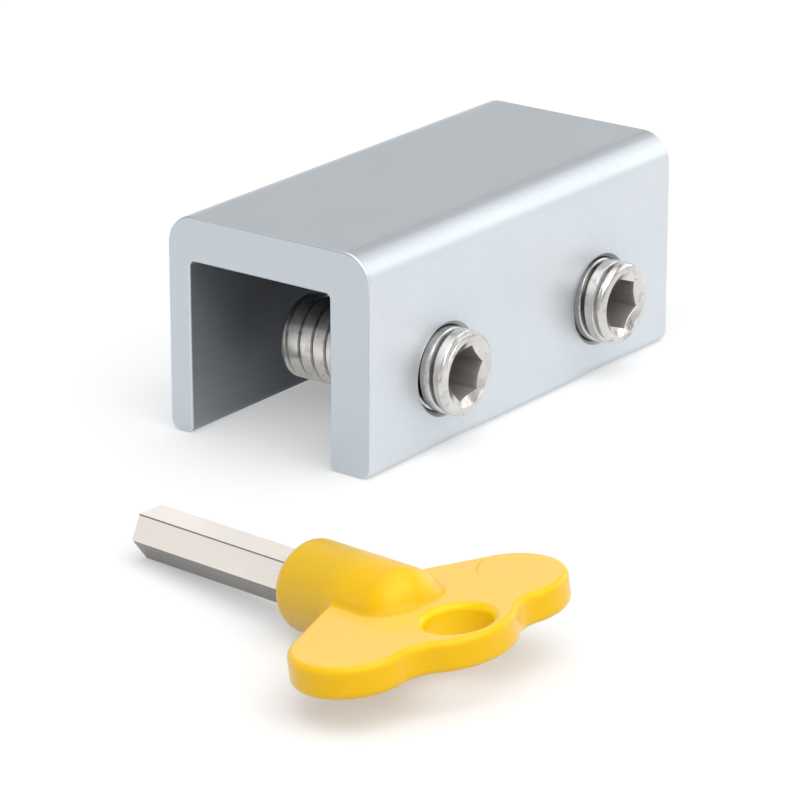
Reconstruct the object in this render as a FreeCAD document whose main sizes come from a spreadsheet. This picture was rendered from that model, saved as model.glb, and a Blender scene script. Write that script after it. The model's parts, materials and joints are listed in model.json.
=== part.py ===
import FreeCAD
import Part
import Sketcher
import math
import os

# Sliding window lock: a tapped aluminium channel, its two set screws and their hexagon key.
# Row frame: +X along the channel, +Y from the screws' leg to the plain leg, +Z up from the leg ends.

SIZES = (
    # channel
    ("channel_length", 48.0),
    ("slot_width", 16.0),
    ("slot_depth", 16.7),
    ("web_thickness", 4.3),
    ("screw_leg", 4.5),
    ("plain_leg", 2.5),
    ("top_round", 3.0),
    ("foot_round", 1.1),
    ("foot_inner_round", 0.7),
    ("slot_round", 0.5),
    ("end_break", 0.2),
    # set screws
    ("screw_diameter", 8.0),
    ("screw_length", 18.8),
    ("screw_end_bevel", 0.6),
    ("screw_spacing", 24.8),
    ("screw_height", 7.4),
    ("front_stand_out", 2.4),
    ("rear_stand_out", 2.75),
    ("front_turn", 20.0),
    ("rear_turn", 50.0),
    ("socket_flats", 4.5),
    ("socket_depth", 5.0),
    ("socket_mouth", 6.2),
    ("mouth_depth", 1.8),
    ("bore_clearance", 0.05),
    ("bore_break", 0.45),
    # key
    ("blade_flats", 4.1),
    ("blade_reach", 21.0),
    ("blade_grip", 10.0),
    ("blade_bevel", 0.3),
    ("grip_clearance", 0.02),
    ("collar_diameter", 7.9),
    ("collar_length", 14.2),
    ("collar_break", 0.9),
    ("nose_round", 2.8),
    ("nose_along", 4.5),
    ("bow_thickness", 2.75),
    ("bow_edge_round", 0.6),
    ("shoulder_along", 13.4),
    ("wing_along", 3.4),
    ("wing_out", 8.2),
    ("wing_round", 5.0),
    ("valley_round", 3.3),
    ("end_along", 2.35),
    ("end_round", 6.3),
    ("ring_hole", 5.6),
    ("ring_break", 0.3),
    # where the key lies
    ("key_x", -57.4),
    ("key_y", -46.55),
    ("key_heading", 77.3),
    ("key_roll", -4.8),
)

doc = FreeCAD.newDocument("window_lock")
sheet = doc.addObject("Spreadsheet::Sheet", "sizes")
for row, (name, number) in enumerate(SIZES, 1):
    sheet.set("A%d" % row, name)
    sheet.set("B%d" % row, str(number))
    sheet.setAlias("B%d" % row, name)
doc.recompute()
size = {name: float(sheet.get(name)) for name, number in SIZES}


def point(x, y):
    return FreeCAD.Vector(x, y, 0.0)


def cells(text):
    """Turn a formula in the sheet's words into an expression on its cells."""
    for name in sorted(size, key=len, reverse=True):
        text = text.replace("{" + name + "}", "sizes." + name)
    return text


def new_body(label):
    body = doc.addObject("PartDesign::Body", label)
    body.Label = label
    return body


def new_sketch(body, plane, name):
    sketch = body.newObject("Sketcher::SketchObject", name)
    support = [item for item in body.Origin.OriginFeatures if item.Role == plane][0]
    sketch.AttachmentSupport = [(support, "")]
    sketch.MapMode = "FlatFace"
    return sketch


def measure(sketch, kind, items, formula, now):
    """Add a driving dimension and bind it to the sheet."""
    index = sketch.addConstraint(Sketcher.Constraint(kind, *items, now))
    sketch.setExpression("Constraints[%d]" % index, cells(formula))


def relate(sketch, kind, *items):
    sketch.addConstraint(Sketcher.Constraint(kind, *items))


def closed_loop(sketch, corners):
    """Draw straight lines through the corners and tie them end to end, square where they are square."""
    count = len(corners)
    for i in range(count):
        start = point(*corners[i])
        stop = point(*corners[(i + 1) % count])
        sketch.addGeometry(Part.LineSegment(start, stop), False)
    for i in range(count):
        relate(sketch, "Coincident", i, 2, (i + 1) % count, 1)
    for i in range(count):
        a = corners[i]
        b = corners[(i + 1) % count]
        if abs(a[0] - b[0]) < 1e-9:
            relate(sketch, "Vertical", i)
        if abs(a[1] - b[1]) < 1e-9:
            relate(sketch, "Horizontal", i)


def hexagon(sketch, flats, turn, formula, turn_formula):
    """Draw a regular hexagon about the sketch's origin by its width across flats and the turn of its first flat."""
    radius = flats / math.sqrt(3.0)
    angles = [math.radians(turn + 60.0 * k - 30.0) for k in range(6)]
    for k in range(6):
        a = angles[k]
        b = angles[(k + 1) % 6]
        start = point(radius * math.cos(a), radius * math.sin(a))
        stop = point(radius * math.cos(b), radius * math.sin(b))
        sketch.addGeometry(Part.LineSegment(start, stop), False)
    rim = sketch.addGeometry(Part.Circle(point(0, 0), FreeCAD.Vector(0, 0, 1), radius), True)
    spoke = sketch.addGeometry(Part.LineSegment(point(0, 0), point(radius * math.cos(angles[0]), radius * math.sin(angles[0]))), True)
    relate(sketch, "Coincident", rim, 3, -1, 1)
    for k in range(6):
        relate(sketch, "Coincident", k, 2, (k + 1) % 6, 1)
    for k in range(6):
        relate(sketch, "PointOnObject", k, 1, rim)
    for k in range(1, 6):
        relate(sketch, "Equal", 0, k)
    relate(sketch, "Coincident", spoke, 1, -1, 1)
    relate(sketch, "Coincident", spoke, 2, 0, 1)
    measure(sketch, "Radius", (rim,), formula + " / sqrt(3)", radius)
    measure(sketch, "Angle", (-1, 1, spoke, 1), turn_formula, angles[0])


def edges_where(feature, test):
    found = []
    for i, edge in enumerate(feature.Shape.Edges, 1):
        middle = edge.valueAt((edge.FirstParameter + edge.LastParameter) / 2.0)
        if test(edge, middle):
            found.append("Edge%d" % i)
    return found


def round_edges(body, name, base, edges, formula):
    fillet = body.newObject("PartDesign::Fillet", name)
    fillet.Base = (base, edges)
    fillet.setExpression("Radius", cells(formula))
    doc.recompute()
    return fillet


def break_edges(body, name, base, edges, formula):
    chamfer = body.newObject("PartDesign::Chamfer", name)
    chamfer.Base = (base, edges)
    chamfer.setExpression("Size", cells(formula))
    doc.recompute()
    return chamfer


def near(a, b):
    return abs(a - b) < 1e-4


# Channel: one extrusion profile with a thick tapped leg, a thin clamping leg and a web.
channel = new_body("lock_channel")
slot_half = size["slot_width"] / 2.0
screw_side = -slot_half - size["screw_leg"]
plain_side = slot_half + size["plain_leg"]
top = size["slot_depth"] + size["web_thickness"]
profile = new_sketch(channel, "YZ_Plane", "channel_profile")
closed_loop(profile, (
    (screw_side, 0.0),
    (screw_side, top),
    (plain_side, top),
    (plain_side, 0.0),
    (slot_half, 0.0),
    (slot_half, size["slot_depth"]),
    (-slot_half, size["slot_depth"]),
    (-slot_half, 0.0),
))
relate(profile, "PointOnObject", 3, 2, -1)
relate(profile, "Symmetric", 7, 1, 3, 2, -2)
measure(profile, "DistanceX", (7, 1, 3, 2), "{slot_width}", size["slot_width"])
measure(profile, "DistanceX", (7, 2, 7, 1), "{screw_leg}", size["screw_leg"])
measure(profile, "DistanceX", (3, 2, 3, 1), "{plain_leg}", size["plain_leg"])
measure(profile, "DistanceY", (6, 2, 6, 1), "{slot_depth}", size["slot_depth"])
measure(profile, "DistanceY", (5, 2, 0, 2), "{web_thickness}", size["web_thickness"])
bar = channel.newObject("PartDesign::Pad", "channel_bar")
bar.Profile = profile
bar.Midplane = True
bar.setExpression("Length", cells("{channel_length}"))
doc.recompute()


def along_bar(places):
    """Pick the long edges of the bar that pass through the given (y, z) places."""
    def test(edge, middle):
        if not near(middle.x, 0.0):
            return False
        return any(near(middle.y, y) and near(middle.z, z) for y, z in places)
    return test


picked = edges_where(bar, along_bar(((screw_side, top), (plain_side, top))))
step = round_edges(channel, "top_corners", bar, picked, "{top_round}")
picked = edges_where(step, along_bar(((screw_side, 0.0), (plain_side, 0.0))))
step = round_edges(channel, "foot_outer_corners", step, picked, "{foot_round}")
picked = edges_where(step, along_bar(((-slot_half, 0.0), (slot_half, 0.0))))
step = round_edges(channel, "foot_inner_corners", step, picked, "{foot_inner_round}")
inner_top = ((-slot_half, size["slot_depth"]), (slot_half, size["slot_depth"]))
picked = edges_where(step, along_bar(inner_top))
step = round_edges(channel, "slot_corners", step, picked, "{slot_round}")

before = step.Shape.Volume
bores = new_sketch(channel, "XZ_Plane", "bore_centres")
bore_radius = size["screw_diameter"] / 2.0 + size["bore_clearance"]
for index, side in enumerate((-1.0, 1.0)):
    centre = point(side * size["screw_spacing"] / 2.0, size["screw_height"])
    bores.addGeometry(Part.Circle(centre, FreeCAD.Vector(0, 0, 1), bore_radius), False)
relate(bores, "Equal", 0, 1)
relate(bores, "Symmetric", 0, 3, 1, 3, -2)
measure(bores, "Radius", (0,), "{screw_diameter} / 2 + {bore_clearance}", bore_radius)
measure(bores, "DistanceX", (0, 3, 1, 3), "{screw_spacing}", size["screw_spacing"])
measure(bores, "DistanceY", (-1, 1, 0, 3), "{screw_height}", size["screw_height"])
step = channel.newObject("PartDesign::Pocket", "screw_bores")
step.Profile = bores
step.Type = "ThroughAll"
step.Reversed = True
doc.recompute()
bore_cut = before - step.Shape.Volume
bore_full = 2.0 * math.pi * bore_radius ** 2 * size["screw_leg"]
if abs(bore_cut - bore_full) > 0.02 * bore_full:
    raise ValueError("the screw bores didn't pass through the screw leg alone")


def bore_mouths(edge, middle):
    if not isinstance(edge.Curve, Part.Circle):
        return False
    round_hole = near(edge.Curve.Radius, bore_radius)
    return round_hole and (near(middle.y, screw_side) or near(middle.y, -slot_half))


step = break_edges(channel, "bore_mouths", step, edges_where(step, bore_mouths), "{bore_break}")
ends = []
for index, face in enumerate(step.Shape.Faces, 1):
    if near(abs(face.CenterOfMass.x), size["channel_length"] / 2.0):
        ends.append("Face%d" % index)
step = break_edges(channel, "end_edges", step, ends, "{end_break}")


# Set screws: turned bar with bevelled ends, a countersunk hexagon socket outside and a flat point inside.
def set_screw(label, side, stand_out, turn):
    body = new_body(label)
    radius = size["screw_diameter"] / 2.0
    bevel = size["screw_end_bevel"]
    length = size["screw_length"]
    outline = new_sketch(body, "XZ_Plane", label + "_outline")
    closed_loop(outline, (
        (0.0, 0.0),
        (radius - bevel, 0.0),
        (radius, bevel),
        (radius, length - bevel),
        (radius - bevel, length),
        (0.0, length),
    ))
    relate(outline, "Coincident", 0, 1, -1, 1)
    measure(outline, "DistanceX", (0, 1, 1, 2), "{screw_diameter} / 2", radius)
    measure(outline, "DistanceX", (0, 2, 1, 2), "{screw_end_bevel}", bevel)
    measure(outline, "DistanceY", (0, 2, 1, 2), "{screw_end_bevel}", bevel)
    measure(outline, "DistanceX", (3, 2, 3, 1), "{screw_end_bevel}", bevel)
    measure(outline, "DistanceY", (3, 1, 3, 2), "{screw_end_bevel}", bevel)
    measure(outline, "DistanceY", (0, 1, 5, 1), "{screw_length}", length)
    turned = body.newObject("PartDesign::Revolution", label + "_bar")
    turned.Profile = outline
    turned.ReferenceAxis = (outline, ["V_Axis"])
    turned.Angle = 360.0
    doc.recompute()

    socket = new_sketch(body, "XY_Plane", label + "_socket_outline")
    hexagon(socket, size["socket_flats"], size[turn], "{socket_flats}", "{%s} - 30" % turn)
    cut = body.newObject("PartDesign::Pocket", label + "_socket")
    cut.Profile = socket
    cut.Reversed = True
    cut.setExpression("Length", cells("{socket_depth}"))
    doc.recompute()
    if turned.Shape.Volume - cut.Shape.Volume < 0.5 * size["socket_flats"] ** 2 * size["socket_depth"]:
        raise ValueError("the socket didn't cut into the screw")

    mouth = size["socket_mouth"] / 2.0
    cone = new_sketch(body, "XZ_Plane", label + "_mouth_outline")
    closed_loop(cone, ((0.0, 0.0), (mouth, 0.0), (0.0, size["mouth_depth"])))
    relate(cone, "Coincident", 0, 1, -1, 1)
    measure(cone, "DistanceX", (0, 1, 0, 2), "{socket_mouth} / 2", mouth)
    measure(cone, "DistanceY", (2, 2, 2, 1), "{mouth_depth}", size["mouth_depth"])
    sunk = body.newObject("PartDesign::Groove", label + "_mouth")
    sunk.Profile = cone
    sunk.ReferenceAxis = (cone, ["V_Axis"])
    sunk.Angle = 360.0
    doc.recompute()
    if cut.Shape.Volume - sunk.Shape.Volume < 0.01:
        raise ValueError("the countersink didn't cut into the screw")

    place = "placement(vector(%s * {screw_spacing} / 2; -{slot_width} / 2 - {screw_leg} - {%s}; {screw_height});"
    place += " rotation(vector(1; 0; 0); -90))"
    body.setExpression("Placement", cells(place % (side, stand_out)))
    doc.recompute()
    return body


screw_front = set_screw("set_screw_front", "-1", "front_stand_out", "front_turn")
screw_rear = set_screw("set_screw_rear", "1", "rear_stand_out", "rear_turn")


# Key: it lies on its blade's tip and on the front of its collar, so its height and slope follow from its sizes.
# In the key's own frame x runs from the ring hole to the tip, y across the bow and z up from its mid plane.
tip_low = "({blade_flats} / sqrt(3) * cos(30 - abs({key_roll})))"
slope = "asin(({collar_diameter} / 2 - %s) / ({blade_reach} + {collar_break}))" % tip_low
tip_along = "({nose_along} + {collar_length} + {blade_reach})"
key_rise = "%s * cos(%s) + %s * sin(%s)" % (tip_low, slope, tip_along, slope)
key_place = "placement(vector({key_x}; {key_y}; %s); rotation({key_heading}; %s; {key_roll}))"
key_place = cells(key_place % (key_rise, slope))

blade = new_body("key_blade")
section = new_sketch(blade, "YZ_Plane", "blade_section")
section.setExpression("AttachmentOffset.Base.z", cells("{nose_along} + {collar_length} - {blade_grip}"))
hexagon(section, size["blade_flats"], 90.0, "{blade_flats}", "60")
hex_bar = blade.newObject("PartDesign::Pad", "blade_bar")
hex_bar.Profile = section
hex_bar.setExpression("Length", cells("{blade_grip} + {blade_reach}"))
doc.recompute()
tip_at = size["nose_along"] + size["collar_length"] + size["blade_reach"]
tips = []
for index, face in enumerate(hex_bar.Shape.Faces, 1):
    if near(face.CenterOfMass.x, tip_at):
        tips.append("Face%d" % index)
step = break_edges(blade, "blade_tip", hex_bar, tips, "{blade_bevel}")
blade.setExpression("Placement", key_place)
doc.recompute()


def circle_meeting(first, first_reach, second, second_reach, side):
    """Give the point at the two distances from two centres, on the chosen side of the line between them."""
    gap = second - first
    span = gap.Length
    along = (first_reach ** 2 - second_reach ** 2 + span ** 2) / (2.0 * span)
    off = math.sqrt(first_reach ** 2 - along ** 2)
    across = FreeCAD.Vector(-gap.y, gap.x, 0.0)
    return first + gap * (along / span) + across * (side * off / span)


def arc(sketch, centre, radius, start, stop):
    """Draw an arc counter-clockwise from one point to another."""
    first = math.atan2(start.y - centre.y, start.x - centre.x)
    last = math.atan2(stop.y - centre.y, stop.x - centre.x)
    if last < first:
        last += 2.0 * math.pi
    ring = Part.Circle(centre, FreeCAD.Vector(0, 0, 1), radius)
    sketch.addGeometry(Part.ArcOfCircle(ring, first, last), False)


# Bow: a butterfly plate of two wings and an end lobe round the ring hole, with a collar moulded on the blade.
bow = new_body("key_bow")
wing = point(size["wing_along"], size["wing_out"])
lobe = point(size["end_along"], 0.0)
shoulder = point(size["shoulder_along"], 0.0)
valley_reach = size["valley_round"]
valley = circle_meeting(lobe, size["end_round"] + valley_reach, wing, size["wing_round"] + valley_reach, 1.0)
wing_valley = wing + (valley - wing) * (size["wing_round"] / (valley - wing).Length)
lobe_valley = lobe + (valley - lobe) * (size["end_round"] / (valley - lobe).Length)
to_wing = wing - shoulder
edge_length = math.sqrt(to_wing.Length ** 2 - size["wing_round"] ** 2)
wing_edge = circle_meeting(shoulder, edge_length, wing, size["wing_round"], -1.0)


def mirrored(place):
    return point(place.x, -place.y)


plate_outline = new_sketch(bow, "XY_Plane", "bow_outline")
plate_outline.addGeometry(Part.LineSegment(shoulder, wing_edge), False)
arc(plate_outline, wing, size["wing_round"], wing_edge, wing_valley)
arc(plate_outline, valley, valley_reach, lobe_valley, wing_valley)
arc(plate_outline, lobe, size["end_round"], lobe_valley, mirrored(lobe_valley))
arc(plate_outline, mirrored(valley), valley_reach, mirrored(wing_valley), mirrored(lobe_valley))
arc(plate_outline, mirrored(wing), size["wing_round"], mirrored(wing_valley), mirrored(wing_edge))
plate_outline.addGeometry(Part.LineSegment(mirrored(wing_edge), shoulder), False)
relate(plate_outline, "Coincident", 6, 2, 0, 1)
relate(plate_outline, "Tangent", 0, 2, 1, 1)
relate(plate_outline, "Tangent", 1, 2, 2, 2)
relate(plate_outline, "Tangent", 2, 1, 3, 1)
relate(plate_outline, "Tangent", 3, 2, 4, 2)
relate(plate_outline, "Tangent", 4, 1, 5, 1)
relate(plate_outline, "Tangent", 5, 2, 6, 1)
relate(plate_outline, "PointOnObject", 0, 1, -1)
relate(plate_outline, "PointOnObject", 3, 3, -1)
relate(plate_outline, "Symmetric", 1, 3, 5, 3, -1)
relate(plate_outline, "Equal", 1, 5)
relate(plate_outline, "Equal", 2, 4)
measure(plate_outline, "DistanceX", (-1, 1, 0, 1), "{shoulder_along}", size["shoulder_along"])
measure(plate_outline, "DistanceX", (-1, 1, 1, 3), "{wing_along}", size["wing_along"])
measure(plate_outline, "DistanceY", (-1, 1, 1, 3), "{wing_out}", size["wing_out"])
measure(plate_outline, "Radius", (1,), "{wing_round}", size["wing_round"])
measure(plate_outline, "Radius", (2,), "{valley_round}", size["valley_round"])
measure(plate_outline, "DistanceX", (-1, 1, 3, 3), "{end_along}", size["end_along"])
measure(plate_outline, "Radius", (3,), "{end_round}", size["end_round"])
plate = bow.newObject("PartDesign::Pad", "bow_plate")
plate.Profile = plate_outline
plate.Midplane = True
plate.setExpression("Length", cells("{bow_thickness}"))
doc.recompute()
half_plate = size["bow_thickness"] / 2.0


def plate_rims(edge, middle):
    return near(abs(middle.z), half_plate)


step = round_edges(bow, "bow_edges", plate, edges_where(plate, plate_rims), "{bow_edge_round}")

collar_radius = size["collar_diameter"] / 2.0
nose = size["nose_along"]
front = size["nose_along"] + size["collar_length"]
front_break = size["collar_break"]
nose_round = size["nose_round"]
collar_outline = new_sketch(bow, "XZ_Plane", "collar_outline")
break_start = point(front, collar_radius - front_break)
break_stop = point(front - front_break, collar_radius)
collar_outline.addGeometry(Part.LineSegment(point(nose, 0.0), point(front, 0.0)), False)
collar_outline.addGeometry(Part.LineSegment(point(front, 0.0), break_start), False)
collar_outline.addGeometry(Part.LineSegment(break_start, break_stop), False)
nose_centre = point(nose + nose_round, collar_radius - nose_round)
collar_outline.addGeometry(Part.LineSegment(break_stop, nose_centre + point(0.0, nose_round)), False)
arc(collar_outline, nose_centre, nose_round, nose_centre + point(0.0, nose_round), nose_centre - point(nose_round, 0.0))
collar_outline.addGeometry(Part.LineSegment(nose_centre - point(nose_round, 0.0), point(nose, 0.0)), False)
relate(collar_outline, "Coincident", 0, 2, 1, 1)
relate(collar_outline, "Coincident", 1, 2, 2, 1)
relate(collar_outline, "Coincident", 2, 2, 3, 1)
relate(collar_outline, "Tangent", 3, 2, 4, 1)
relate(collar_outline, "Tangent", 4, 2, 5, 1)
relate(collar_outline, "Coincident", 5, 2, 0, 1)
relate(collar_outline, "PointOnObject", 0, 1, -1)
relate(collar_outline, "Horizontal", 0)
relate(collar_outline, "Vertical", 1)
relate(collar_outline, "Horizontal", 3)
relate(collar_outline, "Vertical", 5)
measure(collar_outline, "DistanceX", (-1, 1, 0, 1), "{nose_along}", nose)
measure(collar_outline, "DistanceX", (0, 1, 0, 2), "{collar_length}", size["collar_length"])
measure(collar_outline, "DistanceY", (0, 1, 3, 1), "{collar_diameter} / 2", collar_radius)
measure(collar_outline, "DistanceX", (2, 2, 2, 1), "{collar_break}", front_break)
measure(collar_outline, "DistanceY", (2, 1, 2, 2), "{collar_break}", front_break)
measure(collar_outline, "Radius", (4,), "{nose_round}", nose_round)
collar = bow.newObject("PartDesign::Revolution", "bow_collar")
collar.Profile = collar_outline
collar.ReferenceAxis = (collar_outline, ["H_Axis"])
collar.Angle = 360.0
doc.recompute()

grip = new_sketch(bow, "YZ_Plane", "grip_outline")
grip.setExpression("AttachmentOffset.Base.z", cells("{nose_along} + {collar_length}"))
grip_flats = size["blade_flats"] + 2.0 * size["grip_clearance"]
hexagon(grip, grip_flats, 90.0, "({blade_flats} + 2 * {grip_clearance})", "60")
step = bow.newObject("PartDesign::Pocket", "blade_grip_socket")
step.Profile = grip
step.setExpression("Length", cells("{blade_grip}"))
doc.recompute()
if collar.Shape.Volume - step.Shape.Volume < 0.8 * size["blade_flats"] ** 2 * size["blade_grip"]:
    raise ValueError("the blade's socket didn't cut into the collar")

solid = step
ring = new_sketch(bow, "XY_Plane", "ring_outline")
ring.addGeometry(Part.Circle(point(0, 0), FreeCAD.Vector(0, 0, 1), size["ring_hole"] / 2.0), False)
relate(ring, "Coincident", 0, 3, -1, 1)
measure(ring, "Diameter", (0,), "{ring_hole}", size["ring_hole"])
step = bow.newObject("PartDesign::Pocket", "ring_hole")
step.Profile = ring
step.Midplane = True
step.Type = "ThroughAll"
doc.recompute()
if solid.Shape.Volume - step.Shape.Volume < 0.7 * size["ring_hole"] ** 2 * size["bow_thickness"]:
    raise ValueError("the ring hole didn't pass through the bow")


def ring_rims(edge, middle):
    if not isinstance(edge.Curve, Part.Circle):
        return False
    return near(edge.Curve.Radius, size["ring_hole"] / 2.0) and near(abs(middle.z), half_plate)


step = break_edges(bow, "ring_rims", step, edges_where(step, ring_rims), "{ring_break}")
bow.setExpression("Placement", key_place)
doc.recompute()

bodies = (channel, screw_front, screw_rear, blade, bow)
for item in doc.Objects:
    if "Invalid" in item.State or "Error" in item.State:
        raise ValueError("%s didn't build: %s" % (item.Name, item.State))
os.makedirs("parts", exist_ok=True)
for body in bodies:
    shape = body.Shape
    if shape.isNull() or not shape.isValid() or len(shape.Solids) != 1:
        raise ValueError("%s isn't one sound solid" % body.Label)
    shape.exportStep("parts/%s.step" % body.Label)
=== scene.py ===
import json

import bmesh
import bpy
import numpy as np
from mathutils import Matrix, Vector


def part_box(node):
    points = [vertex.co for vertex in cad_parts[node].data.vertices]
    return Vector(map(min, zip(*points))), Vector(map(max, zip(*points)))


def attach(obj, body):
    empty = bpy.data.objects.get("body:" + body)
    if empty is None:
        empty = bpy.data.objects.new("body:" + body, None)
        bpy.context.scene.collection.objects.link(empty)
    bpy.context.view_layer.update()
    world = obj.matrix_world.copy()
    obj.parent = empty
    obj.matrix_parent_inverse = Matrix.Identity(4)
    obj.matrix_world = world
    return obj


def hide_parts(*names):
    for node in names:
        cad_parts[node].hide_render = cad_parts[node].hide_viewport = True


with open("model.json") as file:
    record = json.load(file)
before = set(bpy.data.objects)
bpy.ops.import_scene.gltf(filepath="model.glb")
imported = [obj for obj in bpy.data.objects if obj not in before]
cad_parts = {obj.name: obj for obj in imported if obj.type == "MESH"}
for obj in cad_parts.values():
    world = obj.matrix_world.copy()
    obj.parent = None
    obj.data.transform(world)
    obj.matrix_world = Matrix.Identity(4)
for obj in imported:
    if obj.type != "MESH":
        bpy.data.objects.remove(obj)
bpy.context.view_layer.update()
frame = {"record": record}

# Lock channel: a U of extruded aluminium cut to length, its saw edges rumbled off and the whole satin anodised.
# The thick leg is drilled and tapped for two set screws; the thin leg and the web take the window rail between them.
MM = 0.001
channel_low, channel_high = (np.array(corner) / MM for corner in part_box("lock_channel"))
mounts = {mount["name"]: np.array(mount["pos_m"]) / MM for mount in frame["record"]["mounts"]}
half_length = channel_high[0]
screw_face, back_face, top_face = channel_low[1], channel_high[1], channel_high[2]
slot_half, slot_ceiling = mounts["clamp_face"][1], mounts["seat_face"][2]
top_round, foot_round, foot_inner_round, slot_round = 3.0, 1.1, 0.7, 0.5
end_break, bore_break, bore_clearance = 0.22, 0.45, 0.05
screw_boxes = {}
for screw_node in ("set_screw_front", "set_screw_rear"):
    screw_boxes[screw_node] = [np.array(corner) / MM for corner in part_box(screw_node)]
front_low, front_high = screw_boxes["set_screw_front"]
screw_radius = (front_high[0] - front_low[0]) / 2.0
screw_across = abs(front_low[0] + front_high[0]) / 2.0
screw_height = mounts["front_socket"][2]
bore_radius = screw_radius + bore_clearance
bore_mouth = bore_radius + bore_break


def rounded_run(corners, rounds, step=np.radians(4.0), guard=0.15):
    """Give points along straight runs with rounded inner corners.
    An arc starts radius x tan(half turn) before its corner and goes on by radius x (sin a, 1 - cos a)
    along the first run and across it; a guard point each side of the arc keeps the flats flat when shaded."""
    corners = np.array(corners, float)
    parts = [corners[:1]]
    for before, corner, after, radius in zip(corners[:-2], corners[1:-1], corners[2:], rounds):
        along = (corner - before) / np.linalg.norm(corner - before)
        onward = (after - corner) / np.linalg.norm(after - corner)
        turn = np.arccos(np.clip(along @ onward, -1.0, 1.0))
        across = onward - (onward @ along) * along
        across = across / np.linalg.norm(across)
        reach = radius * np.tan(turn / 2.0)
        a = np.linspace(0.0, turn, int(np.ceil(turn / step)) + 1)[:, None]
        bend = corner - reach * along + radius * (np.sin(a) * along + (1.0 - np.cos(a)) * across)
        parts += [bend[:1] - guard * along, bend, bend[-1:] + guard * onward]
    return np.concatenate(parts + [corners[-1:]])


def joined_sheets(name, sheets, caps=(), crease=35.0, same_point=0.001, no_width=0.0005):
    """Make one piece of sheets of points, each rows x columns x 3 in millimetres, and of flat caps, each a ring.
    Four neighbours in a sheet make a face, points nearer than same_point become one, edges shorter than no_width
    go, and edges sharper than the crease in degrees stay sharp."""
    points, faces, start = [], [], 0
    for sheet in sheets:
        rows, columns = sheet.shape[:2]
        at = np.arange(rows * columns).reshape(rows, columns) + start
        quads = np.stack([at[:-1, :-1], at[:-1, 1:], at[1:, 1:], at[1:, :-1]], axis=-1)
        points.append(sheet.reshape(-1, 3))
        faces += quads.reshape(-1, 4).tolist()
        start += rows * columns
    for ring in caps:
        points.append(ring)
        faces.append((np.arange(len(ring)) + start).tolist())
        start += len(ring)
    mesh = bpy.data.meshes.new(name)
    mesh.from_pydata((np.concatenate(points) * MM).tolist(), [], faces)
    shell = bmesh.new()
    shell.from_mesh(mesh)
    bmesh.ops.remove_doubles(shell, verts=shell.verts, dist=same_point * MM)
    bmesh.ops.dissolve_degenerate(shell, edges=shell.edges, dist=no_width * MM)
    bmesh.ops.recalc_face_normals(shell, faces=shell.faces)
    shell.to_mesh(mesh)
    shell.free()
    mesh.shade_smooth()
    mesh.set_sharp_from_angle(angle=np.radians(crease))
    piece = bpy.data.objects.new(name, mesh)
    bpy.context.scene.collection.objects.link(piece)
    return piece


def drilled_panel(hole_x, hole_z, border, mouth, depth):
    """Give one face of the drilled leg round one hole: rays from the hole's centre to the border points,
    each point part way between the mouth circle and the border, at the depth of the face."""
    ray = border - np.array([hole_x, hole_z])
    angle = np.arctan2(ray[:, 1], ray[:, 0])
    circle = np.array([hole_x, hole_z]) + mouth * np.stack([np.cos(angle), np.sin(angle)], axis=-1)
    part = np.array([0.0, 0.04, 0.3, 0.7, 1.0])[:, None, None]
    flat = (1.0 - part) * circle + part * border
    return np.stack([flat[..., 0], np.full(flat.shape[:2], depth), flat[..., 1]], axis=-1)


def drilled_wall(hole_x, hole_z, border, radius, mouth, near, far):
    """Give the hole's wall: circles at the angles of the border points, whose radius goes in at 45 degrees
    from the mouth to the bore behind a small rounded edge, carried from the near face to the far one."""
    ray = border - np.array([hole_x, hole_z])
    angle = np.arctan2(ray[:, 1], ray[:, 0])
    lip = mouth - radius
    step = lip * np.array([0.0, 0.06, 0.14, 0.30, 0.70, 1.0])
    sunk = lip * np.array([0.0, 0.02, 0.10, 0.28, 0.70, 1.0])
    reach = np.concatenate([mouth - step, (mouth - step)[::-1]])
    depth = np.concatenate([near + sunk, (far - sunk)[::-1]])
    x = hole_x + reach[:, None] * np.cos(angle)
    z = hole_z + reach[:, None] * np.sin(angle)
    return np.stack([x, np.broadcast_to(depth[:, None], x.shape), z], axis=-1)


def carried_along(run, stations):
    """Carry a profile of (y, z) points along the channel: every point of the run at every station of x."""
    x = np.broadcast_to(stations[:, None], (len(stations), len(run)))
    return np.stack([x, np.broadcast_to(run[:, 0], x.shape), np.broadcast_to(run[:, 1], x.shape)], axis=-1)


panel_margin, end_guard, end_step, cap_guard = 0.4, 0.15, 0.9, 0.1
panel_foot, panel_head = foot_round + panel_margin, slot_ceiling - slot_round - panel_margin
inner_face = -slot_half
foot_run = rounded_run(
    [(screw_face, panel_foot), (screw_face, 0.0), (inner_face, 0.0), (inner_face, panel_foot)],
    [foot_round, foot_inner_round],
)
body_run = rounded_run(
    [
        (inner_face, panel_head), (inner_face, slot_ceiling), (slot_half, slot_ceiling), (slot_half, 0.0),
        (back_face, 0.0), (back_face, top_face), (screw_face, top_face), (screw_face, panel_head),
    ],
    [slot_round, slot_round, foot_inner_round, foot_round, top_round, top_round],
)
skin_end = half_length - end_break
panel_rise = np.linspace(panel_foot, panel_head, 23)
even_steps = np.linspace(-skin_end + end_step, -end_step, 27)
half_along = np.concatenate([[-skin_end, -skin_end + end_guard], even_steps, [0.0]])
panel_along = np.concatenate([half_along, -half_along[-2::-1]])
channel_sheets = [carried_along(foot_run, panel_along), carried_along(body_run, panel_along)]
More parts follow.
